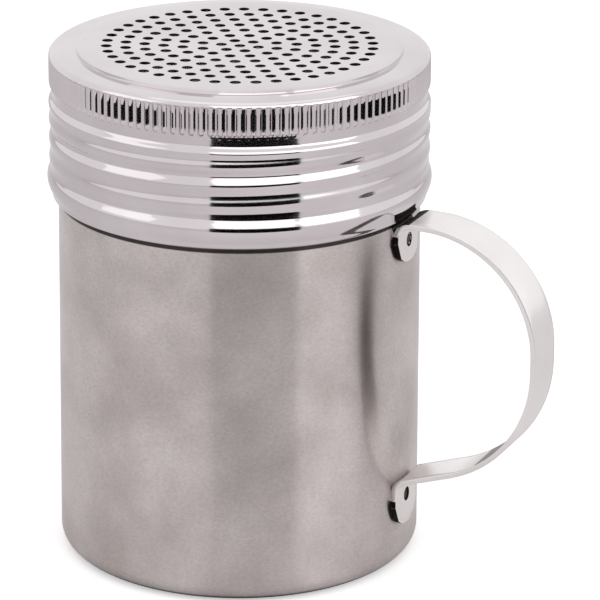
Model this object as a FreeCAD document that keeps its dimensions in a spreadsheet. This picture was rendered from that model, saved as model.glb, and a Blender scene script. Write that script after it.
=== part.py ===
import FreeCAD, Part
import math
import os

# Hand shaker for dry seasoning: a drawn steel cup with a strap handle and a
# perforated screw lid. The cup's axis is the Z axis and its foot stands on
# Z = 0. The handle points along +X.

doc = FreeCAD.newDocument("SeasoningShaker")
vec = FreeCAD.Vector
near = 0.01

# Dimensions, in millimetres
sheet = doc.addObject("Spreadsheet::Sheet", "Dims")
dimensions = [
    # cup
    ("cup_foot_rad", 33.95, "outer radius just above the foot corner"),
    ("cup_wall_rad", 33.6, "outer radius under the lid"),
    ("cup_sheet", 0.5, "sheet of the drawn cup"),
    ("cup_height", 95.6, "height of the cup's rim"),
    ("foot_corner", 3.5, "outer corner radius at the foot"),
    ("neck_rad", 33.2, "outer radius of the neck inside the lid"),
    ("neck_start", 72.5, "height where the neck steps in"),
    # lid
    ("lid_top", 97.1, "height of the perforated panel's edge"),
    ("panel_dish", 0.3, "how far the perforated part lies under the panel's edge"),
    ("dish_rad", 25.7, "radius of the perforated part"),
    ("panel_rad", 27.0, "radius of the panel's edge"),
    ("step_rad", 30.6, "radius where the sloped step ends"),
    ("step_drop", 0.6, "drop of the sloped step"),
    ("lid_sheet", 0.4, "sheet of the lid"),
    ("shoulder_round", 0.8, "rounding between annulus and grip band"),
    ("grip_rad", 35.2, "outer radius of the fluted grip band"),
    ("grip_bottom", 90.3, "lower end of the grip band"),
    ("grip_flutes", 128, "number of flutes round the grip band"),
    ("flute_depth", 0.4, "depth of a flute"),
    ("flute_width", 1.0, "width of a flute at the surface"),
    ("lid_neck_rad", 34.35, "outer radius of the plain groove"),
    ("lid_neck_bottom", 88.0, "lower end of the plain groove"),
    ("crest_rad", 35.35, "outer radius of the skirt over the thread's crests"),
    ("root_rad", 34.35, "outer radius of the skirt's lower end"),
    ("skirt_bottom", 74.1, "lower end of the lid's skirt"),
    ("skirt_clear_rad", 33.95, "inner radius of the skirt's lower end"),
    # perforation
    ("hole_dia", 1.95, "diameter of a shaker hole"),
    ("hole_pitch", 3.5, "distance between rings of holes"),
    ("hole_rings", 7, "rings of holes round the centre hole"),
    ("hole_phase", 10.8, "turn of the hole pattern from the handle"),
    # edge band
    ("band_crest_rad", 35.8, "outer radius of the rolled edge"),
    ("band_crest_z", 72.9, "height of the rolled edge's crest"),
    ("band_bottom", 69.0, "lower end of the edge band"),
    ("band_lip_rad", 34.35, "outer radius of the band's lower lip"),
    # handle
    ("strap_width", 9.6, "width of the handle strap"),
    ("strap_thick", 1.0, "thickness of the handle strap"),
    ("strap_top_z", 68.4, "centre line height of the top run"),
    ("strap_reach", 61.0, "centre line distance of the loop from the axis"),
    ("strap_big_rad", 22.0, "bend of the upper loop"),
    ("strap_low_rad", 23.5, "bend of the lower loop"),
    ("strap_side_z", 43.5, "height where the lower loop begins"),
    ("strap_low_turn", 71.4, "turn of the lower loop"),
    ("strap_bend_rad", 2.3, "bend where the strap meets the cup"),
    ("top_tab_end", 60.4, "lower end of the top tab"),
    ("low_tab_end", 8.6, "lower end of the bottom tab"),
    ("tab_round", 4.2, "rounding of the tab corners"),
    # spot welds
    ("weld_rad", 1.2, "radius of a spot weld"),
    ("top_weld_z", 64.6, "height of the top tab's weld"),
    ("low_weld_z", 14.4, "height of the bottom tab's weld"),
    ("weld_sink", 0.3, "how far a weld lies under the tab's face"),
]
for row, (alias, value, note) in enumerate(dimensions, start=1):
    sheet.set("A%d" % row, alias)
    sheet.set("B%d" % row, str(value))
    sheet.setAlias("B%d" % row, alias)
    sheet.set("C%d" % row, note)
doc.recompute()


def dim(alias):
    return float(sheet.get(alias))


def bind(feature, prop, expression):
    feature.setExpression(prop, expression)


def originPlane(body, role):
    for item in body.Origin.OriginFeatures:
        if item.Role == role:
            return item


def newBody(label):
    body = doc.addObject("PartDesign::Body", label)
    body.Label = label
    return body


def newSketch(body, name, role, offset=0.0):
    sketch = body.newObject("Sketcher::SketchObject", name)
    sketch.AttachmentSupport = [(originPlane(body, role), "")]
    sketch.MapMode = "FlatFace"
    if offset:
        sketch.AttachmentOffset = FreeCAD.Placement(vec(0, 0, offset), FreeCAD.Rotation())
    return sketch


def drawProfile(sketch, path):
    """Closed outline from (x, y) points; (x, y, mx, my) ends an arc through (mx, my)."""
    here = vec(path[-1][0], path[-1][1], 0)
    for step in path:
        start = here
        here = vec(step[0], step[1], 0)
        if len(step) == 4:
            edge = Part.Arc(start, vec(step[2], step[3], 0), here)
        else:
            edge = Part.LineSegment(start, here)
        sketch.addGeometry(edge, False)


def turned(body, name, path):
    """A full revolution of a profile given as (radius, height)."""
    sketch = newSketch(body, name + "_profile", "XZ_Plane")
    drawProfile(sketch, path)
    turn = body.newObject("PartDesign::Revolution", name)
    turn.Profile = sketch
    turn.ReferenceAxis = (sketch, ["V_Axis"])
    turn.Angle = 360
    return turn


def spun(point, turn):
    """A point turned about the axis by an angle in radians."""
    along = point[0] * math.cos(turn) - point[1] * math.sin(turn)
    across = point[0] * math.sin(turn) + point[1] * math.cos(turn)
    return (along, across)


def quarter(cx, cy, rad, degrees):
    """Point on a rounding, for the middle of its arc."""
    angle = math.radians(degrees)
    return (cx + rad * math.cos(angle), cy + rad * math.sin(angle))


# Cup body
cup = newBody("body_cup")
wall = dim("cup_sheet")
foot = dim("cup_foot_rad")
upper = dim("cup_wall_rad")
corner = dim("foot_corner")
neck = dim("neck_rad")
step = dim("neck_start")
rim = dim("cup_height")
neckSlope = 0.6
cupTurn = turned(cup, "Cup", [
    (0, 0),
    (foot, 0),
    (upper, step),
    (neck, step + neckSlope),
    (neck, rim),
    (neck - wall, rim),
    (neck - wall, step + neckSlope),
    (upper - wall, step - wall),
    (foot - wall, corner),
    (foot - corner, wall),
    (0, wall),
])
doc.recompute()
footEdges = []
for number, edge in enumerate(cupTurn.Shape.Edges, start=1):
    box = edge.BoundBox
    if box.ZMax < near and box.XMax > foot - near:
        footEdges.append("Edge%d" % number)
footRound = cup.newObject("PartDesign::Fillet", "FootRound")
footRound.Base = (cupTurn, footEdges)
footRound.Radius = corner
bind(footRound, "Radius", "Dims.foot_corner")

# Screw lid
lid = newBody("screw_lid")
skin = dim("lid_sheet")
top = dim("lid_top")
dish = dim("panel_dish")
dishRad = dim("dish_rad")
panel = dim("panel_rad")
stepRad = dim("step_rad")
annulus = top - dim("step_drop")
roundRad = dim("shoulder_round")
grip = dim("grip_rad")
gripLow = dim("grip_bottom")
lidNeck = dim("lid_neck_rad")
lidNeckLow = dim("lid_neck_bottom")
crest = dim("crest_rad")
root = dim("root_rad")
skirtLow = dim("skirt_bottom")
clearRad = dim("skirt_clear_rad")
crestSlope = 0.7
crestFoot = 0.9
gripInner = grip - skin - dim("flute_depth")
lowSlope = 0.6

outside = [
    (0, top - dish),
    (dishRad, top - dish),
    (panel, top),
    (stepRad, annulus),
    (grip, annulus),
    (grip, gripLow + lowSlope),
    (lidNeck, gripLow),
    (lidNeck, lidNeckLow),
]
inside = [
    (clearRad, lidNeckLow),
    (gripInner, gripLow + lowSlope),
    (gripInner, annulus - skin),
    (stepRad, annulus - skin),
    (panel, top - skin),
    (dishRad, top - dish - skin),
    (0, top - dish - skin),
]
skirtSide = [
    (crest, lidNeckLow - crestSlope),
    (crest, skirtLow + crestFoot + crestSlope),
    (root, skirtLow + crestFoot),
    (root, skirtLow),
    (clearRad, skirtLow),
    (clearRad, skirtLow + crestFoot),
    (crest - skin, skirtLow + crestFoot + crestSlope),
    (crest - skin, lidNeckLow - crestSlope),
]
lidShell = turned(lid, "LidShell", outside + skirtSide + inside)
doc.recompute()
shoulderEdges = []
for number, edge in enumerate(lidShell.Shape.Edges, start=1):
    box = edge.BoundBox
    if abs(box.ZMin - annulus) < near and box.ZLength < near and box.XMax > grip - near:
        shoulderEdges.append("Edge%d" % number)
shoulder = lid.newObject("PartDesign::Fillet", "Shoulder")
shoulder.Base = (lidShell, shoulderEdges)
shoulder.Radius = roundRad
bind(shoulder, "Radius", "Dims.shoulder_round")

# the flutes of the grip band, pressed all round in one go
fluteDepth = dim("flute_depth")
fluteHalf = dim("flute_width") / 2
fluteShort = 0.2
fluteBase = gripLow + lowSlope
fluteTop = annulus - roundRad - fluteShort
outerLine = grip + 0.2
fluteCount = int(dim("grip_flutes"))
fluteSketch = newSketch(lid, "Flutes_profile", "XY_Plane", fluteBase)
for number in range(fluteCount):
    turn = 2 * math.pi * number / fluteCount
    section = [
        (outerLine, fluteHalf * 1.5),
        (grip - fluteDepth, 0),
        (outerLine, -fluteHalf * 1.5),
    ]
    drawProfile(fluteSketch, [spun(point, turn) for point in section])
flutes = lid.newObject("PartDesign::Pocket", "Flutes")
flutes.Profile = fluteSketch
flutes.Length = fluteTop - fluteBase
bind(flutes, "Length", "(Dims.lid_top - Dims.step_drop - Dims.shoulder_round - Dims.grip_bottom) * 1 mm - 0.8 mm")
flutes.Reversed = True
flutes.Refine = False

# the shaker holes: one in the middle and seven rings of six, twelve, eighteen ...
# each is drawn with eight sides, as wide as the round punch
holeSides = 8
holeRad = dim("hole_dia") / 2 / math.cos(math.pi / holeSides)
phase = math.radians(dim("hole_phase"))
holeSketch = newSketch(lid, "Holes_profile", "XY_Plane", top + 1)
for ringNumber in range(int(dim("hole_rings")) + 1):
    around = max(1, 6 * ringNumber)
    for number in range(around):
        turn = phase + 2 * math.pi * number / around
        centre = spun((ringNumber * dim("hole_pitch"), 0), turn)
        corners = []
        for side in range(holeSides):
            edge = spun((holeRad, 0), 2 * math.pi * (side + 0.5) / holeSides)
            corners.append((centre[0] + edge[0], centre[1] + edge[1]))
        drawProfile(holeSketch, corners)
holes = lid.newObject("PartDesign::Pocket", "Holes")
holes.Profile = holeSketch
holes.Length = 3
holes.Refine = False

# Edge band of the lid
band = newBody("lid_edge_band")
bandCrest = dim("band_crest_rad")
bandCrestZ = dim("band_crest_z")
bandLow = dim("band_bottom")
bandLip = dim("band_lip_rad")
bandHigh = skirtLow - bandLow
crestHigh = bandCrestZ - bandLow
lipHigh = 0.8
turned(band, "Band", [
    (clearRad, 0),
    (bandLip, 0),
    (bandLip + 0.1, lipHigh),
    (bandCrest, crestHigh) + (bandLip + 0.75, crestHigh / 2),
    (bandCrest - 0.2, crestHigh + 0.7),
    (root + 0.1, bandHigh),
    (clearRad, bandHigh),
])
bind(band, "Placement.Base.z", "Dims.band_bottom * 1 mm")
doc.recompute()

# Handle strap
strap = newBody("handle_strap")
half = dim("strap_thick") / 2
bend = dim("strap_bend_rad")
topZ = dim("strap_top_z")
reach = dim("strap_reach")
big = dim("strap_big_rad")
low = dim("strap_low_rad")
sideZ = dim("strap_side_z")
lowTurn = math.radians(dim("strap_low_turn"))


def wallRad(height):
    return foot + (upper - foot) * height / step


topTabEnd = dim("top_tab_end")
lowTabEnd = dim("low_tab_end")
topTabX = wallRad(topTabEnd) + half
lowTabX = wallRad(lowTabEnd) + half
topBend = (topTabX + bend, topZ - bend)
upperLoop = (reach - big, topZ - big)
lowerLoop = (reach - low, sideZ)
loopEnd = (lowerLoop[0] + low * math.cos(lowTurn), lowerLoop[1] - low * math.sin(lowTurn))
heading = (-math.sin(lowTurn), -math.cos(lowTurn))
lowBendX = lowTabX + bend
runEndX = lowBendX - bend * math.cos(lowTurn)
lowRun = (runEndX - loopEnd[0]) / heading[0]
runEnd = (runEndX, loopEnd[1] + heading[1] * lowRun)
lowBend = (lowBendX, runEnd[1] - bend * math.sin(lowTurn))


def onArc(centre, rad, degrees):
    return quarter(centre[0], centre[1], rad, degrees)


turnDegrees = dim("strap_low_turn")
bendHalf = 180 - turnDegrees / 2
tabDig = 0.6
outerSide = [
    (topTabX - half - tabDig, topTabEnd),
    (topTabX - half - tabDig, topBend[1]),
    (topTabX - half, topBend[1]),
    (topBend[0], topZ + half) + onArc(topBend, bend + half, 135),
    (upperLoop[0], topZ + half),
    (reach + half, upperLoop[1]) + onArc(upperLoop, big + half, 45),
    (reach + half, sideZ),
    onArc(lowerLoop, low + half, -turnDegrees) + onArc(lowerLoop, low + half, -turnDegrees / 2),
    onArc(lowBend, bend - half, 180 - turnDegrees),
    (lowTabX + half, lowBend[1]) + onArc(lowBend, bend - half, bendHalf),
    (lowTabX + half, lowTabEnd),
]
innerSide = [
    (lowTabX - half - tabDig, lowTabEnd),
    (lowTabX - half - tabDig, lowBend[1]),
    (lowTabX - half, lowBend[1]),
    onArc(lowBend, bend + half, 180 - turnDegrees) + onArc(lowBend, bend + half, bendHalf),
    onArc(lowerLoop, low - half, -turnDegrees),
    (reach - half, sideZ) + onArc(lowerLoop, low - half, -turnDegrees / 2),
    (reach - half, upperLoop[1]),
    (upperLoop[0], topZ - half) + onArc(upperLoop, big - half, 45),
    (topBend[0], topZ - half),
    (topTabX + half, topBend[1]) + onArc(topBend, bend - half, 135),
    (topTabX + half, topTabEnd),
]
strapSketch = newSketch(strap, "Strap_profile", "XZ_Plane")
drawProfile(strapSketch, outerSide + innerSide)
pad = strap.newObject("PartDesign::Pad", "Strap")
pad.Profile = strapSketch
pad.Midplane = True
pad.Length = dim("strap_width")
bind(pad, "Length", "Dims.strap_width")
doc.recompute()

# the tabs lie on the cup, so what reaches into the cup's outer face comes off
trimSketch = newSketch(strap, "Trim_profile", "XZ_Plane")
drawProfile(trimSketch, [(0, 0), (foot, 0), (upper, step), (0, step)])
trim = strap.newObject("PartDesign::Groove", "Trim")
trim.Profile = trimSketch
trim.ReferenceAxis = (trimSketch, ["V_Axis"])
trim.Angle = 360
doc.recompute()

# round the four corners at the tab ends
cornerEdges = []
for number, edge in enumerate(trim.Shape.Edges, start=1):
    box = edge.BoundBox
    atEnd = abs(box.ZMin - topTabEnd) < near or abs(box.ZMin - lowTabEnd) < near
    level = box.ZLength < near and box.YLength < near
    if atEnd and level and box.XLength > half:
        cornerEdges.append("Edge%d" % number)
rounding = strap.newObject("PartDesign::Fillet", "TabCorners")
rounding.Base = (trim, cornerEdges)
rounding.Radius = dim("tab_round")
bind(rounding, "Radius", "Dims.tab_round")

# one hole through each tab for its spot weld
weldRad = dim("weld_rad")
weldHeights = [dim("top_weld_z"), dim("low_weld_z")]
weldSketch = newSketch(strap, "Weld_profile", "YZ_Plane", foot - wall)
for height in weldHeights:
    weldSketch.addGeometry(Part.Circle(vec(0, height, 0), vec(0, 0, 1), weldRad), False)
dimples = strap.newObject("PartDesign::Pocket", "WeldHoles")
dimples.Profile = weldSketch
dimples.Reversed = True
dimples.Length = 3
doc.recompute()

# Spot welds of the handle
nuggets = []
for name, height, tabX in (("WeldTop", weldHeights[0], topTabX), ("WeldLow", weldHeights[1], lowTabX)):
    nugget = doc.addObject("Part::Cylinder", name)
    bind(nugget, "Radius", "Dims.weld_rad")
    nugget.Height = tabX + half - dim("weld_sink") - wallRad(height)
    nugget.Placement = FreeCAD.Placement(vec(wallRad(height), 0, height), FreeCAD.Rotation(vec(0, 1, 0), 90))
    nuggets.append(nugget)
welds = doc.addObject("Part::Compound", "handle_spot_welds")
welds.Label = "handle_spot_welds"
welds.Links = nuggets
doc.recompute()

# Checks and STEP files
pieces = (cup, strap, welds, lid, band)
for item in doc.Objects:
    if "Invalid" in item.State or "Error" in item.State:
        raise RuntimeError("feature failed: " + item.Label)
os.makedirs("parts", exist_ok=True)
for piece in pieces:
    shape = piece.Shape
    if shape.isNull() or not shape.isValid():
        raise RuntimeError("no good shape: " + piece.Label)
    shape.exportStep("parts/%s.step" % piece.Label)
    print(piece.Label, len(shape.Solids), round(shape.Volume, 1), shape.BoundBox)
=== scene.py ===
import math
import bpy
from mathutils import Matrix, Vector


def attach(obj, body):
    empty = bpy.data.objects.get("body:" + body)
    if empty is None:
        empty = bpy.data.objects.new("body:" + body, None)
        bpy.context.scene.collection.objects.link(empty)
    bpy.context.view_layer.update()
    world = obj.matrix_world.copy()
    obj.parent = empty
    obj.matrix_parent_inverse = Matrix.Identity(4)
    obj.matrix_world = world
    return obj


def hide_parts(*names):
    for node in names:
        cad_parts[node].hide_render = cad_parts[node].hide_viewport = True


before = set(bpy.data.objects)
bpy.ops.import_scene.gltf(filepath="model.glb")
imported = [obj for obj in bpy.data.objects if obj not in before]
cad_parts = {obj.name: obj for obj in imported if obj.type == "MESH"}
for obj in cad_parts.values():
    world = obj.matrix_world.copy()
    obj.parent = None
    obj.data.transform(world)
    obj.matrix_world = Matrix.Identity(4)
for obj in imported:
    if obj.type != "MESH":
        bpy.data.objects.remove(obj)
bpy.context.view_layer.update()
print("frame loaded")

# The pieces' sizes are in millimetres; camera, floor, lamps and materials are in metres.
mm = 0.001
scene = bpy.context.scene


# Camera at the photograph's viewing angle, angles in degrees.
cameraSetup = {
    "azimuth": 25.5,      # round the shaker from straight in front
    "distance": 0.68307,  # along the floor, from the cup's axis
    "height": 0.29154,
    "pitch": 19.675,      # looking down
    "pan": 0.9527,        # turned right, so the cup sits left of the middle
    "roll": 0.394,
    "lens": 231.65,
    "sensor": 36,
    "near": 0.01,
}


def placeCamera():
    setup = cameraSetup
    azimuth = math.radians(setup["azimuth"])
    reach = setup["distance"]
    place = (reach * math.sin(azimuth), -reach * math.cos(azimuth), setup["height"])
    bpy.ops.object.camera_add(location=place)
    camera = bpy.context.object
    turn = Matrix.Rotation(azimuth - math.radians(setup["pan"]), 4, "Z")
    tilt = Matrix.Rotation(math.radians(90 - setup["pitch"]), 4, "X")
    roll = Matrix.Rotation(math.radians(setup["roll"]), 4, "Z")
    camera.rotation_euler = (turn @ tilt @ roll).to_euler()
    camera.data.lens = setup["lens"]
    camera.data.sensor_width = setup["sensor"]
    camera.data.clip_start = setup["near"]
    scene.camera = camera


placeCamera()


def hexColour(text):
    # sRGB hex to linear
    values = []
    for start in (0, 2, 4):
        part = int(text[start:start + 2], 16) / 255
        values.append(part / 12.92 if part <= 0.04045 else ((part + 0.055) / 1.055) ** 2.4)
    return (values[0], values[1], values[2], 1)


def addNode(material, kind, settings=None, sockets=None, links=None):
    # one node with its settings, socket values and incoming links
    node = material.node_tree.nodes.new(kind)
    for key, value in (settings or {}).items():
        setattr(node, key, value)
    for key, value in (sockets or {}).items():
        node.inputs[key].default_value = value
    for key, source in (links or {}).items():
        material.node_tree.links.new(source, node.inputs[key])
    return node


def newMaterial(name):
    material = bpy.data.materials.new(name)
    material.use_nodes = True
    material.node_tree.nodes.clear()
    return material


def selectNone():
    if bpy.context.object and bpy.context.object.mode != "OBJECT":
        bpy.ops.object.mode_set(mode="OBJECT")
    bpy.ops.object.select_all(action="DESELECT")


def finishPiece(piece, material, body, nodes, smoothAngle=35):
    selectNone()
    piece.select_set(True)
    bpy.context.view_layer.objects.active = piece
    bpy.ops.object.transform_apply(location=True, rotation=True, scale=True)
    bpy.ops.object.shade_smooth_by_angle(angle=math.radians(smoothAngle))
    piece.data.materials.clear()
    piece.data.materials.append(material)
    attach(piece, body)
    if nodes:
        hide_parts(*nodes)
    print("piece ready:", piece.name, len(piece.data.polygons))


def applyModifier(piece, kind, name, **settings):
    modifier = piece.modifiers.new(name, kind)
    for key, value in settings.items():
        setattr(modifier, key, value)
    bpy.context.view_layer.objects.active = piece
    bpy.ops.object.modifier_apply(modifier=modifier.name)


def turnShell(name, profile, around, closed):
    # a circle extruded along a profile of (radius, height) in millimetres
    selectNone()
    radius, height = profile[0]
    fill = "NGON" if closed else "NOTHING"
    bpy.ops.mesh.primitive_circle_add(vertices=around, radius=radius * mm, fill_type=fill,
                                      location=(0, 0, height * mm))
    piece = bpy.context.object
    piece.name = name
    bpy.ops.object.mode_set(mode="EDIT")
    bpy.ops.mesh.select_all(action="SELECT")
    for nextRadius, nextHeight in profile[1:]:
        lift = (nextHeight - height) * mm
        bpy.ops.mesh.extrude_edges_move(TRANSFORM_OT_translate={"value": (0, 0, lift)})
        scale = nextRadius / radius
        bpy.ops.transform.resize(value=(scale, scale, 1), center_override=(0, 0, 0))
        radius, height = nextRadius, nextHeight
    bpy.ops.mesh.select_all(action="SELECT")
    bpy.ops.mesh.normals_make_consistent(inside=False)
    bpy.ops.object.mode_set(mode="OBJECT")
    bpy.ops.object.transform_apply(location=True, rotation=True, scale=True)
    return piece


def bend(centre, radius, first, last, steps):
    # points of an arc, degrees in the plane of radius and height
    points = []
    for step in range(steps + 1):
        angle = math.radians(first + (last - first) * step / steps)
        points.append((centre[0] + radius * math.cos(angle), centre[1] + radius * math.sin(angle)))
    return points


def offsets(radius, height, pairs):
    # profile points given as (outward, upward) steps from one radius and height
    return [(radius + out, height + up) for out, up in pairs]


def rolledThread(angle, height, thread):
    # 0 in the thread's groove and 1 on its crest, rising one pitch a turn to the right hand
    rise = (height - thread["start"]) / thread["pitch"] - angle / (2 * math.pi)
    wave = 0.5 + 0.5 * math.cos(2 * math.pi * rise)
    return wave ** thread["sharpness"]


def fade(value, low, high):
    # 0 below the low value, 1 above the high one, and smooth between them
    share = min(1, max(0, (value - low) / (high - low)))
    return share * share * (3 - 2 * share)


# Grey specks of the satin finish, from the grain's noise to a shade of the steel.
satinSpeck = {"From Min": 0.3, "From Max": 0.7, "To Min": 0.88, "To Max": 1.06}
# Painted shade on the cup, heights in metres: a dark line under the lid's lip, and one round the
# foot.
paintedShadeLines = {
    "colour": "1A1512",
    "strength": 0.93,
    "lipShadeHeight": 0.06838,
    "lipShadeFade": (0.00032, 0.00048),
    "footFade": (0.0007, 0.0014),
}
patchEdges = (0.35, 0.65)   # how sharply the cloudy patches change from shade to colour


def addPaintedShade(material, place, colourOut):
    # painted shade: the colour goes near black in a thin line under the lid's lip and round the
    # foot
    heights = addNode(material, "ShaderNodeSeparateXYZ", links={"Vector": place.outputs["Object"]})
    away = addNode(material, "ShaderNodeMath", {"operation": "SUBTRACT"},
                   {1: paintedShadeLines["lipShadeHeight"]}, {0: heights.outputs["Z"]})
    off = addNode(material, "ShaderNodeMath", {"operation": "ABSOLUTE"},
                  links={0: away.outputs["Value"]})
    lines = []
    for edges, source in ((paintedShadeLines["lipShadeFade"], off.outputs["Value"]),
                          (paintedShadeLines["footFade"], heights.outputs["Z"])):
        lines.append(addNode(material, "ShaderNodeMapRange",
                             sockets={"From Min": edges[0], "From Max": edges[1],
                                      "To Min": paintedShadeLines["strength"], "To Max": 0.0},
                             links={"Value": source}))
    both = addNode(material, "ShaderNodeMath", {"operation": "MAXIMUM"},
                   links={0: lines[0].outputs["Result"], 1: lines[1].outputs["Result"]})
    shadeMix = addNode(material, "ShaderNodeMix", {"data_type": "RGBA"},
                   {"B": hexColour(paintedShadeLines["colour"])},
                   {"Factor": both.outputs["Value"], "A": colourOut})
    return shadeMix.outputs["Result"]


def brushedSteel(name, colour, shade, roughness, grain, bumpHeight, mottle,
                 stretchOut=0.0, paintedShade=False):
    # a fine grain, faint cloudy patches from drawing and handling, and a soft uneven gloss;
    # grain and mottle are cells in a metre, so 1000 is a cell of one millimetre. The grain
    # is coarser than the real one, which would be lost between the render's pixels.
    material = newMaterial(name)
    place = addNode(material, "ShaderNodeTexCoord")
    stretch = addNode(material, "ShaderNodeMapping", sockets={"Scale": grain},
                      links={"Vector": place.outputs["Object"]})
    lines = addNode(material, "ShaderNodeTexNoise",
                    sockets={"Scale": 1.0, "Detail": 3.0, "Roughness": 0.6},
                    links={"Vector": stretch.outputs["Vector"]})
    clouds = addNode(material, "ShaderNodeTexNoise", sockets={"Scale": mottle, "Detail": 3.0},
                     links={"Vector": place.outputs["Object"]})
    tint = addNode(material, "ShaderNodeValToRGB", links={"Fac": clouds.outputs["Fac"]})
    for element, position, text in zip(tint.color_ramp.elements, patchEdges, (shade, colour)):
        element.position = position
        element.color = hexColour(text)
    gloss = addNode(material, "ShaderNodeMapRange",
                    sockets={"To Min": roughness[0], "To Max": roughness[1]},
                    links={"Value": clouds.outputs["Fac"]})
    bump = addNode(material, "ShaderNodeBump", sockets={"Strength": 1.0, "Distance": bumpHeight},
                   links={"Height": lines.outputs["Fac"]})
    colourOut = tint.outputs["Color"]
    if stretchOut:
        speck = addNode(material, "ShaderNodeMapRange", sockets=satinSpeck,
                        links={"Value": lines.outputs["Fac"]})
        grey = addNode(material, "ShaderNodeCombineColor",
                       links={key: speck.outputs["Result"] for key in ("Red", "Green", "Blue")})
        spotted = addNode(material, "ShaderNodeMix",
                          {"data_type": "RGBA", "blend_type": "MULTIPLY"}, {"Factor": 1.0},
                          {"A": colourOut, "B": grey.outputs["Color"]})
        colourOut = spotted.outputs["Result"]
    # painted shade lines under the lid's lip and round the foot
    if paintedShade:
        colourOut = addPaintedShade(material, place, colourOut)
    steel = addNode(material, "ShaderNodeBsdfPrincipled",
                    sockets={"Metallic": 1.0, "Anisotropic": stretchOut,
                             "Anisotropic Rotation": 0.25},
                    links={"Base Color": colourOut, "Roughness": gloss.outputs["Result"],
                           "Normal": bump.outputs["Normal"]})
    if stretchOut:
        # highlights stretch along the cup's height, across the polishing lines
        around = addNode(material, "ShaderNodeTangent", {"direction_type": "RADIAL", "axis": "Z"})
        material.node_tree.links.new(around.outputs["Tangent"], steel.inputs["Tangent"])
    addNode(material, "ShaderNodeOutputMaterial", links={"Surface": steel.outputs["BSDF"]})
    return material


# Satin drawn steel: soft upright reflections, small specks, and painted shade in a dark line under
# the lid and round the foot.
cupSteel = brushedSteel("stainlessSteelDrawnSatin", "D4CCCB", "BDB5B3", (0.27, 0.35),
                        (1500, 1500, 2500), 0.000004, 60, stretchOut=0.95, paintedShade=True)
# Bright pressed steel: nearly a mirror, so flutes and thread show as black and white lines.
lidSteel = brushedSteel("stainlessSteelRolledBright", "D9D3D6", "CFC8CB", (0.06, 0.11),
                        (400, 400, 400), 0.000002, 60)
# Painted shade on the holes' walls: every hole reads as a dark dot.
holeWallPaintedShade = brushedSteel("stainlessSteelHoleWallPaintedShade", "3A3634", "1C1A19", (0.5, 0.6),
                            (900, 900, 900), 0.00001, 900)
# Cold-rolled strip: pale and even, with fine lines along its length.
strapSteel = brushedSteel("stainlessSteelStripCold", "F4F1F0", "E9E5E4", (0.20, 0.30),
                          (300, 4000, 300), 0.00001, 50)
# Black: heat scale in the weld pits, and painted shade on the tabs' sides and ends and on the
# upper bend under the lid.
heatScaleAndPaintedShade = brushedSteel("stainlessSteelHeatScaleAndPaintedShade", "26211F", "161312", (0.45, 0.6),
                          (900, 900, 900), 0.00001, 600)
# The strip's side that faces the cup: a greyer band inside the loop.
strapInside = brushedSteel("stainlessSteelStripInside", "8E8783", "7A736F", (0.35, 0.45),
                           (300, 4000, 300), 0.00001, 50)
# Burnt brown of the weld nuggets, at the bottom of the two pits.
weldSteel = brushedSteel("spotWeldHeatTinted", "6A5540", "2A2420", (0.35, 0.5),
                         (900, 900, 900), 0.00005, 900)
print("materials ready")


# Cup, one drawn shell with a rolled thread at its neck (the thread is under the lid).
cupSize = {
    "around": 256,
    "footRings": (4, 12, 22),
    "footRadius": 33.95,
    "wallRadius": 33.6,
    "footCorner": 3.5,
    "wallShares": (0.2, 0.4, 0.6, 0.8),
    "sheet": 0.5,
    "neckRadius": 33.2,
    "neckStart": 72.5,
    "neckIn": ((0, -0.3), (-0.08, 0)),     # steps from the wall at the neck's start
    "neckOut": ((0.06, 0.6), (0, 0.9)),    # steps from the neck's radius
    "rim": 95.6,
    "rimRound": 0.1,
    "ringStep": 0.4,
    "threadLow": 76.0,
    "threadHigh": 90.5,
    "threadRunOut": 2,
    "threadDepth": 0.45,
    "thread": {"start": 79.8, "pitch": 3.6, "sharpness": 0.9},
}


def makeCup():
    size = cupSize
    corner = size["footCorner"]
    foot = size["footRadius"]
    neck = size["neckRadius"]
    low, high, runOut = size["threadLow"], size["threadHigh"], size["threadRunOut"]
    profile = [(radius, 0) for radius in size["footRings"]]
    profile += bend((foot - corner, corner), corner, -90, 0, 12)
    for share in size["wallShares"]:
        height = corner + (size["neckStart"] - corner) * share
        profile.append((foot + (size["wallRadius"] - foot) * share, height))
    profile += offsets(size["wallRadius"], size["neckStart"], size["neckIn"])
    profile += offsets(neck, size["neckStart"], size["neckOut"])
    height = low - 1.5
    while height < size["rim"] - 2 * size["rimRound"]:
        profile.append((neck, height))
        height += size["ringStep"]
    profile.append((neck, size["rim"] - size["rimRound"]))
    profile.append((neck - size["rimRound"], size["rim"]))
    cup = turnShell("cup", profile, size["around"], True)
    for vertex in cup.data.vertices:
        height = vertex.co.z / mm
        if low - 1 < height < high + 1:
            angle = math.atan2(vertex.co.y, vertex.co.x)
            ends = fade(height, low, low + runOut)
            ends *= 1 - fade(height, high - runOut, high)
            ridge = size["threadDepth"] * ends * rolledThread(angle, height, size["thread"])
            radius = neck + ridge
            now = math.hypot(vertex.co.x, vertex.co.y)
            vertex.co.x *= radius * mm / now
            vertex.co.y *= radius * mm / now
    applyModifier(cup, "SOLIDIFY", "sheet", thickness=size["sheet"] * mm, offset=-1)
    finishPiece(cup, cupSteel, "cup", ["body_cup"])


makeCup()


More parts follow.
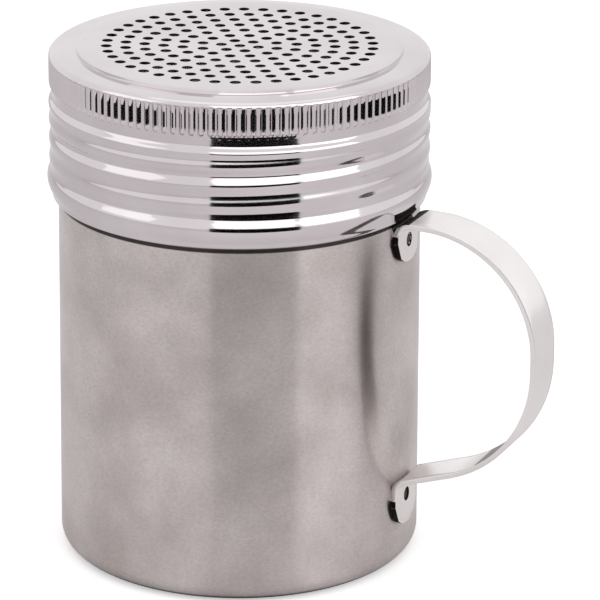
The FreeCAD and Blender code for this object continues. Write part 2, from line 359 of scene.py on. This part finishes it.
# Lid: perforated panel, step, annulus and fluted grip band.
lidSize = {
    "columns": 6,          # mesh columns for each flute
    "flutes": 128,
    "fluteShape": (0, 0.3, 0.85, 1, 0.85, 0.3),
    "fluteDepth": 0.62,
    "fluteTop": (95.02, 95.4),     # the flutes fade out between these heights
    "fluteLow": 89.9,
    "top": 97.1,
    "dish": 0.29,
    "panelRings": (5.25, 12.25, 19.25, 25.7),
    "panelRadius": 27.0,
    # panel's edge and the top of the step: radius, and height from the top
    "panelEdge": ((26.6, -0.01), (27.0, 0), (27.4, -0.01), (28.4, -0.02), (29.2, -0.03),
                  (29.8, -0.05), (30.02, -0.08), (30.06, -0.3)),
    "stepDrop": 0.74,
    # foot of the step and the annulus: radius, and height from the annulus
    "annulus": ((30.1, 0.2), (30.14, 0.03), (30.3, 0), (31.0, 0), (32.2, -0.03), (33.0, -0.1)),
    "gripRadius": 35.15,
    "gripHeights": (95.0, 93.8, 92.4, 91.4),
    # lower end of the grip band: steps from its radius and the flutes' lower end
    "gripLow": ((0, 0.75), (-0.05, 0.5), (-0.18, 0.26), (-0.38, 0.08), (-0.6, -0.04)),
    "shoulder": 1.0,
    "shoulderDrop": 0.12,
    "neckRadius": 34.55,
    "neckSteps": ((0.04, -0.25), (0, -0.5)),
    "join": 89.2,          # where the panel piece meets the skirt piece
    "sheet": 0.3,
    "holeRadius": 1.0,
    "holeSides": 20,
    "holePitch": 3.5,
    "holeRings": 7,
    "holePhase": 10.8,
    "punchSteps": ((1.55, 1.0), (0.07, 1.03), (1.0, 1.03)),    # lift, and widening after it
    "punchDepth": 1.62,    # the punch's lower end below the panel's surface
    "punchedWithin": 25.6,
    "punchedSlope": 0.6,   # faces steeper than this inside the panel are hole walls
}


def makeHoleCutters():
    # one punch, a hair wider towards its top, copied to the centre and the rings round it
    size = lidSize
    radius = size["holeRadius"] * mm
    selectNone()
    bpy.ops.mesh.primitive_circle_add(vertices=size["holeSides"], radius=radius,
                                      fill_type="NGON", location=(0, 0, 0))
    bpy.ops.object.mode_set(mode="EDIT")
    bpy.ops.mesh.select_all(action="SELECT")
    for lift, scale in size["punchSteps"]:
        bpy.ops.mesh.extrude_region_move(TRANSFORM_OT_translate={"value": (0, 0, lift * mm)})
        bpy.ops.transform.resize(value=(scale, scale, 1))
    bpy.ops.mesh.select_all(action="SELECT")
    bpy.ops.mesh.normals_make_consistent(inside=False)
    bpy.ops.object.mode_set(mode="OBJECT")
    punch = bpy.context.object
    cutters = []
    for ring in range(size["holeRings"] + 1):
        around = max(1, 6 * ring)
        for number in range(around):
            turned = math.radians(size["holePhase"]) + 2 * math.pi * number / around
            distance = ring * size["holePitch"] * mm
            share = distance / mm / size["panelRadius"]
            surface = (size["top"] - size["dish"] * (1 - share * share)) * mm
            copy = punch.copy()
            copy.data = punch.data.copy()
            copy.location = (distance * math.cos(turned), distance * math.sin(turned),
                             surface - size["punchDepth"] * mm)
            bpy.context.collection.objects.link(copy)
            cutters.append(copy)
    bpy.data.objects.remove(punch)
    selectNone()
    for cutter in cutters:
        cutter.select_set(True)
    bpy.context.view_layer.objects.active = cutters[0]
    bpy.ops.object.join()
    bpy.ops.object.transform_apply(location=True, rotation=True, scale=True)
    return bpy.context.object


def makeLidTop():
    size = lidSize
    top = size["top"]
    annulus = top - size["stepDrop"]
    grip = size["gripRadius"]
    neck = size["neckRadius"]
    low = size["fluteLow"]
    shoulder = size["shoulder"]
    around = size["flutes"] * size["columns"]
    profile = []
    for radius in size["panelRings"]:
        share = radius / size["panelRadius"]
        profile.append((radius, top - size["dish"] * (1 - share * share)))
    profile += offsets(0, top, size["panelEdge"])
    profile += offsets(0, annulus, size["annulus"])
    profile += bend((grip - shoulder, annulus - size["shoulderDrop"] - shoulder),
                    shoulder, 84, 0, 9)
    profile += [(grip, height) for height in size["gripHeights"]]
    profile += offsets(grip, low, size["gripLow"])
    profile += offsets(neck, low, size["neckSteps"])
    profile.append((neck, size["join"]))
    lidTop = turnShell("lidTop", profile, around, True)
    # the flutes are pressed into the grip band, column by column
    for vertex in lidTop.data.vertices:
        height = vertex.co.z / mm
        now = math.hypot(vertex.co.x, vertex.co.y) / mm
        if height > annulus - 0.1 or now < neck + 0.01:
            continue
        angle = math.atan2(vertex.co.y, vertex.co.x) % (2 * math.pi)
        column = round(angle / (2 * math.pi) * around) % size["columns"]
        ends = 1 - fade(height, *size["fluteTop"])
        radius = now - size["fluteDepth"] * size["fluteShape"][column] * ends
        radius = max(radius, neck)
        vertex.co.x *= radius / now
        vertex.co.y *= radius / now
    applyModifier(lidTop, "SOLIDIFY", "sheet", thickness=size["sheet"] * mm, offset=-1)
    cutters = makeHoleCutters()
    applyModifier(lidTop, "BOOLEAN", "punching", operation="DIFFERENCE", solver="EXACT",
                  object=cutters)
    bpy.data.objects.remove(cutters)
    finishPiece(lidTop, lidSteel, "lid", ["screw_lid"], 30)
    # the steep faces of the holes get the painted shade, so each hole reads dark
    lidTop.data.materials.append(holeWallPaintedShade)
    for face in lidTop.data.polygons:
        x, y, z = face.center / mm
        if abs(face.normal.z) < size["punchedSlope"] and math.hypot(x, y) < size["punchedWithin"]:
            face.material_index = 1


makeLidTop()


# Lid: skirt with the rolled thread, which a crease parts from the edge band.
skirtSize = {
    "around": 320,
    "crestRadius": 35.25,
    "rootRadius": 34.98,
    "neckRadius": 34.55,
    "sheet": 0.35,
    "top": 89.2,
    "shoulder": (86.9, 88.2),      # the neck widens to the skirt between these heights
    "runOut": (85.4, 86.9),        # the uppermost groove runs out between these
    "creaseFade": (74.9, 76.2),    # the thread ends between these
    "crease": 74.1,
    "creaseRadius": 35.08,
    "flare": 0.2,
    "flareFrom": 74.7,
    "flareHeight": 0.6,
    "ringStep": 0.2,
    "deeper": 0.34,                # the middle turn is rolled deeper than the first and last
    "deeperHeight": 82.4,
    "deeperSpread": 1.4,
    "thread": {"start": 77.95, "pitch": 3.6, "sharpness": 1.0},
}


def makeSkirt():
    size = skirtSize
    profile = []
    height = size["top"]
    while height > size["crease"] + 0.05:
        profile.append((size["neckRadius"], height))
        height -= size["ringStep"]
    profile.append((size["neckRadius"], size["crease"]))
    skirt = turnShell("lidSkirt", profile, size["around"], False)
    depth = size["crestRadius"] - size["rootRadius"]
    for vertex in skirt.data.vertices:
        height = vertex.co.z / mm
        angle = math.atan2(vertex.co.y, vertex.co.x)
        ridge = rolledThread(angle, height, size["thread"])
        away = (height - size["deeperHeight"]) / size["deeperSpread"]
        deeper = size["deeper"] * math.exp(-away ** 2)
        radius = size["rootRadius"] + depth * ridge - deeper * (1 - ridge)
        radius += (size["crestRadius"] - radius) * fade(height, *size["runOut"])
        radius += (size["neckRadius"] - radius) * fade(height, *size["shoulder"])
        radius += (size["creaseRadius"] - radius) * (1 - fade(height, *size["creaseFade"]))
        radius += size["flare"] * max(0, (size["flareFrom"] - height) / size["flareHeight"])
        now = math.hypot(vertex.co.x, vertex.co.y)
        vertex.co.x *= radius * mm / now
        vertex.co.y *= radius * mm / now
    applyModifier(skirt, "SOLIDIFY", "sheet", thickness=size["sheet"] * mm, offset=-1)
    finishPiece(skirt, lidSteel, "lid", None, 40)


makeSkirt()


# Edge band: the rolled bead at the lower end of the skirt.
bandSize = {
    "around": 256,
    "inner": 33.97,
    "low": 69.0,
    "high": 74.1,
    # outer side from the crease down to the lip that rubs on the cup: radius, height
    "bulge": ((35.27, 74.1), (35.36, 73.9), (35.47, 73.62), (35.56, 73.34), (35.62, 73.05),
              (35.66, 72.75), (35.66, 72.4), (35.62, 72.0), (35.5, 71.5), (35.32, 71.0),
              (35.12, 70.55), (34.94, 70.2), (34.84, 69.95), (34.8, 69.7), (34.78, 69.45),
              (34.68, 69.25), (34.5, 69.1), (34.25, 69.0)),
}


def makeBand():
    size = bandSize
    profile = [(size["inner"], size["high"]), *size["bulge"], (size["inner"], size["low"])]
    band = turnShell("lidBand", profile, size["around"], False)
    bpy.ops.object.mode_set(mode="EDIT")
    bpy.ops.mesh.select_all(action="DESELECT")
    bpy.ops.mesh.select_non_manifold()
    bpy.ops.mesh.bridge_edge_loops()
    bpy.ops.mesh.select_all(action="SELECT")
    bpy.ops.mesh.normals_make_consistent(inside=False)
    bpy.ops.object.mode_set(mode="OBJECT")
    finishPiece(band, lidSteel, "lid_edge", ["lid_edge_band"], 40)


makeBand()


# Handle strap: one strip bent round and welded on at two tabs.
strapSize = {
    "width": 9.6,
    "thick": 1.0,
    "across": 8,                  # mesh strips across the width
    "topTab": (34.1, 60.4),       # distance from the axis, and height of the tab's end
    "lowTab": (34.41, 8.6),
    "topHeight": 68.4,
    "reach": 61.0,
    "bigBend": 22.0,
    "lowBend": 23.5,
    "sideHeight": 43.5,
    "lowTurn": 71.4,              # degrees that the lower bend turns through
    "smallBend": 2.3,
    "tabsWithin": 36.6,
    "tabRound": 4.2,
    "tabPower": 2.4,              # 2 is a round tab end, more is squarer
    "hug": (34.6, 36.4),          # the strip leaves the cup's curve between these distances
    "hugRadius": 34.1,
    "edgeBevel": 0.18,
    "bevelAngle": 50,
    "weldPits": ((34.6, 64.6), (34.9, 14.4)),   # tab's outer face, and height
    "pitRadius": 1.3,
    "pitOut": 0.8,
    "pitAside": -0.5,
    "pitStretch": (1, 1.2, 1.35),
    # where the strip is black: heat scale in the weld pits, painted shade on the tabs' sides and
    # ends and on the bend under the lid
    "blackTabOut": 35.9,
    "blackLowTabTop": 15,
    "blackLowTabEnd": 12,
    "blackTopTab": (50, 66.3),
    "blackTopTabEnd": (60, 63),
    "blackBendOut": 37.3,
    "blackBendLow": 66,
    "blackPitHigh": 2.4,
    "blackPitWide": 1.5,
    "blackPitDepth": (34.4, 35.3),
    "greyInsideOut": 50,          # and from where its grey inner side shows
}


def strapPath():
    # centre line in the handle's plane: distance from the axis and height
    size = strapSize
    small = size["smallBend"]
    tabX, tabZ = size["topTab"]
    path = []
    bendCentre = (tabX + small, size["topHeight"] - small)
    for share in (0, 0.25, 0.5, 0.75):
        path.append((tabX, tabZ + (bendCentre[1] - tabZ) * share))
    path += bend(bendCentre, small, 180, 90, 8)
    big = (size["reach"] - size["bigBend"], size["topHeight"] - size["bigBend"])
    path += bend(big, size["bigBend"], 90, 0, 24)
    low = (size["reach"] - size["lowBend"], size["sideHeight"])
    lowArc = bend(low, size["lowBend"], 0, -size["lowTurn"], 20)
    path += lowArc
    turned = math.radians(size["lowTurn"])
    tabX, tabZ = size["lowTab"]
    runEndX = tabX + small - small * math.cos(turned)
    run = (lowArc[-1][0] - runEndX) / math.sin(turned)
    runEndZ = lowArc[-1][1] - run * math.cos(turned)
    lowCentre = (tabX + small, runEndZ - small * math.sin(turned))
    path += bend(lowCentre, small, 180 - size["lowTurn"], 180, 8)
    for share in (0.25, 0.5, 0.75, 1):
        path.append((tabX, lowCentre[1] + (tabZ - lowCentre[1]) * share))
    return path


def makeStrip(path):
    # a line of edges across the strip, extruded along the path
    size = strapSize
    selectNone()
    bpy.ops.mesh.primitive_grid_add(x_subdivisions=1, y_subdivisions=size["across"],
                                    size=size["width"] * mm, location=(0, 0, 0))
    strap = bpy.context.object
    strap.name = "handleStrap"
    bpy.ops.object.mode_set(mode="EDIT")
    bpy.ops.mesh.select_all(action="DESELECT")
    bpy.ops.object.mode_set(mode="OBJECT")
    half = size["width"] * mm / 2
    for vertex in strap.data.vertices:
        vertex.select = vertex.co.x > 0
    bpy.ops.object.mode_set(mode="EDIT")
    bpy.ops.mesh.delete(type="VERT")
    bpy.ops.mesh.select_all(action="SELECT")
    startX, startZ = path[0]
    bpy.ops.transform.translate(value=(half + startX * mm, 0, startZ * mm))
    here = path[0]
    for point in path[1:]:
        step = ((point[0] - here[0]) * mm, 0, (point[1] - here[1]) * mm)
        # two bends that meet share a point, which isn't extruded twice
        if abs(step[0]) + abs(step[2]) < 1e-7:
            continue
        bpy.ops.mesh.extrude_edges_move(TRANSFORM_OT_translate={"value": step})
        here = point
    bpy.ops.object.mode_set(mode="OBJECT")
    return strap


def shapeTabs(strap):
    # each tab's end is drawn in to a rounded end, and each tab is pressed to the cup's curve
    size = strapSize
    deep = size["tabRound"]
    bendRadius = size["hugRadius"]
    for vertex in strap.data.vertices:
        x, y, height = vertex.co.x / mm, vertex.co.y / mm, vertex.co.z / mm
        side = y / (size["width"] / 2)
        if x < size["tabsWithin"]:
            for tabX, tabZ in (size["topTab"], size["lowTab"]):
                above = height - tabZ
                if -0.01 < above < deep:
                    inward = math.sqrt(max(0, 1 - (abs(side) ** size["tabPower"])))
                    lift = deep * (1 - inward)
                    vertex.co.z = (height + lift * (1 - above / deep)) * mm
        hug = 1 - fade(x, *size["hug"])
        curve = bendRadius - math.sqrt(bendRadius ** 2 - y * y)
        vertex.co.x = (x - curve * hug) * mm


def pressWeldPits(strap):
    # the electrodes of the spot welder leave a pit in each tab
    size = strapSize
    for wall, height in size["weldPits"]:
        selectNone()
        bpy.ops.mesh.primitive_uv_sphere_add(
            segments=24, ring_count=16, radius=size["pitRadius"] * mm,
            location=((wall + size["pitOut"]) * mm, size["pitAside"] * mm, height * mm))
        dimple = bpy.context.object
        bpy.ops.transform.resize(value=size["pitStretch"])
        applyModifier(strap, "BOOLEAN", "weldPit", operation="DIFFERENCE", solver="EXACT",
                      object=dimple)
        bpy.data.objects.remove(dimple)


def strapFinish(face):
    # 0 is the bright strip, 1 is black (heat scale in the pits, painted shade on the tabs' edges
    # and the upper bend) and 2 is the grey inner side
    size = strapSize
    x, y, z = face.center / mm
    facing = face.normal
    for wall, height in size["weldPits"]:
        inPit = abs(z - height) < size["blackPitHigh"]
        inPit = inPit and abs(y - size["pitAside"]) < size["blackPitWide"]
        inPit = inPit and size["blackPitDepth"][0] < x < size["blackPitDepth"][1]
        if inPit and facing.x < 0.93:
            return 1
    topTabEnd = size["blackTopTabEnd"][0] < z < size["blackTopTabEnd"][1]
    tabEnd = facing.z < -0.5 and (z < size["blackLowTabEnd"] or topTabEnd)
    onTab = z < size["blackLowTabTop"] or size["blackTopTab"][0] < z < size["blackTopTab"][1]
    # painted shade along the tabs' sides and ends
    if x < size["blackTabOut"] and onTab and (abs(facing.y) > 0.55 or tabEnd):
        return 1
    # painted shade on the upward faces of the bend under the lid
    if x < size["blackBendOut"] and z > size["blackBendLow"] and facing.z > 0.2:
        return 1
    if x > size["greyInsideOut"] and facing.x < -0.5:
        return 2
    return 0


def makeStrap():
    size = strapSize
    strap = makeStrip(strapPath())
    shapeTabs(strap)
    bpy.ops.object.mode_set(mode="EDIT")
    bpy.ops.mesh.select_all(action="SELECT")
    bpy.ops.mesh.normals_make_consistent(inside=False)
    bpy.ops.object.mode_set(mode="OBJECT")
    applyModifier(strap, "SOLIDIFY", "strip", thickness=size["thick"] * mm, offset=0,
                  use_even_offset=True)
    applyModifier(strap, "BEVEL", "edges", width=size["edgeBevel"] * mm, segments=2,
                  limit_method="ANGLE", angle_limit=math.radians(size["bevelAngle"]))
    pressWeldPits(strap)
    finishPiece(strap, strapSteel, "cup", ["handle_strap"], 35)
    strap.data.materials.append(heatScaleAndPaintedShade)
    strap.data.materials.append(strapInside)
    for face in strap.data.polygons:
        face.material_index = strapFinish(face)


makeStrap()

# The spot welds keep their solids' shape and only get a look.
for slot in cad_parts["handle_spot_welds"].material_slots:
    slot.material = weldSteel


# Floor, flag, lamps and world.
stageSetup = {
    "floorSize": 6,
    "paper": "F4F2F1",
    "paperLift": 0.45,       # light that the camera sees in the sweep; the shadow stays on it
    "fill": "F4F3F5",
    "fillStrength": 0.75,
}
# The flag and the front softbox stand a little to the right of the camera's direction.
frontAngle = cameraSetup["azimuth"] - 90 + 8.5
frontDirection = (math.cos(math.radians(frontAngle)), math.sin(math.radians(frontAngle)))
flagSetup = {"distance": 0.26, "width": 0.24, "low": 0.0, "high": 0.105, "shade": "101010"}
# Softboxes: place, the point they face, width and height in metres, and power in watts.
lampSetup = {
    "softboxFront": {"place": (0.27 * frontDirection[0], 0.27 * frontDirection[1], 0.22),
                     "aim": (0, 0, 0.1), "size": (0.25, 0.22), "power": 0.11},
    "softboxLeft": {"place": (-0.9, -0.9, 0.7), "aim": (0, 0, 0.06), "size": (0.9, 0.9),
                    "power": 1.0},
    "softboxRight": {"place": (1.2, -0.2, 0.6), "aim": (0, 0, 0.06), "size": (0.9, 0.9),
                     "power": 2.2},
    "softboxTop": {"place": (0, 0.2, 1.4), "aim": (0, 0, 0.06), "size": (1.4, 1.4),
                   "power": 1.8},
}


def makeFloor():
    # a white paper sweep: bright and even, with the shaker's soft shadow on it
    setup = stageSetup
    selectNone()
    bpy.ops.mesh.primitive_plane_add(size=setup["floorSize"], location=(0, 0, 0))
    floor = bpy.context.object
    floor.name = "floor"
    paper = newMaterial("whitePaperSweep")
    rays = addNode(paper, "ShaderNodeLightPath")
    matt = addNode(paper, "ShaderNodeBsdfDiffuse", sockets={"Color": hexColour(setup["paper"])})
    lift = addNode(paper, "ShaderNodeEmission",
                   sockets={"Color": (1, 1, 1, 1), "Strength": setup["paperLift"]})
    both = addNode(paper, "ShaderNodeAddShader",
                   links={0: matt.outputs["BSDF"], 1: lift.outputs["Emission"]})
    mix = addNode(paper, "ShaderNodeMixShader",
                  links={"Fac": rays.outputs["Is Camera Ray"], 1: matt.outputs["BSDF"],
                         2: both.outputs["Shader"]})
    addNode(paper, "ShaderNodeOutputMaterial", links={"Surface": mix.outputs["Shader"]})
    floor.data.materials.append(paper)


def makeWorld():
    # white to the camera and in the metal, and a dimmer fill on everything else
    setup = stageSetup
    world = bpy.data.worlds.new("studio")
    scene.world = world
    world.use_nodes = True
    world.node_tree.nodes.clear()
    rays = addNode(world, "ShaderNodeLightPath")
    seen = addNode(world, "ShaderNodeMath", {"operation": "MAXIMUM"},
                   links={0: rays.outputs["Is Camera Ray"], 1: rays.outputs["Is Glossy Ray"]})
    soft = addNode(world, "ShaderNodeBackground",
                   sockets={"Color": hexColour(setup["fill"]), "Strength": setup["fillStrength"]})
    white = addNode(world, "ShaderNodeBackground",
                    sockets={"Color": (1, 1, 1, 1), "Strength": 1.0})
    mix = addNode(world, "ShaderNodeMixShader",
                  links={"Fac": seen.outputs["Value"], 1: soft.outputs["Background"],
                         2: white.outputs["Background"]})
    addNode(world, "ShaderNodeOutputWorld", links={"Surface": mix.outputs["Shader"]})


def addFlag():
    # a black studio flag that only shows in the polished metal
    setup = flagSetup
    selectNone()
    bpy.ops.mesh.primitive_plane_add(size=1, location=(0, 0, 0))
    flag = bpy.context.object
    flag.name = "flagFront"
    flag.dimensions = (setup["width"], setup["high"] - setup["low"], 0)
    flag.rotation_euler = (math.radians(90), 0, math.radians(frontAngle) + math.radians(90))
    flag.location = (setup["distance"] * frontDirection[0], setup["distance"] * frontDirection[1],
                     (setup["low"] + setup["high"]) / 2)
    cloth = newMaterial("flagFrontCloth")
    dull = addNode(cloth, "ShaderNodeBsdfDiffuse", sockets={"Color": hexColour(setup["shade"])})
    addNode(cloth, "ShaderNodeOutputMaterial", links={"Surface": dull.outputs["BSDF"]})
    flag.data.materials.append(cloth)
    flag.visible_camera = False
    flag.visible_diffuse = False
    flag.visible_shadow = False


def addLamp(name, place, aim, size, power):
    bpy.ops.object.light_add(type="AREA", location=place)
    lamp = bpy.context.object
    lamp.name = name
    lamp.data.shape = "RECTANGLE"
    lamp.data.size, lamp.data.size_y = size
    lamp.data.energy = power
    lamp.rotation_euler = (Vector(aim) - Vector(place)).to_track_quat("-Z", "Y").to_euler()


makeFloor()
makeWorld()
addFlag()
for name, setup in lampSetup.items():
    addLamp(name, **setup)
scene.view_settings.view_transform = "Standard"
print("stage ready")
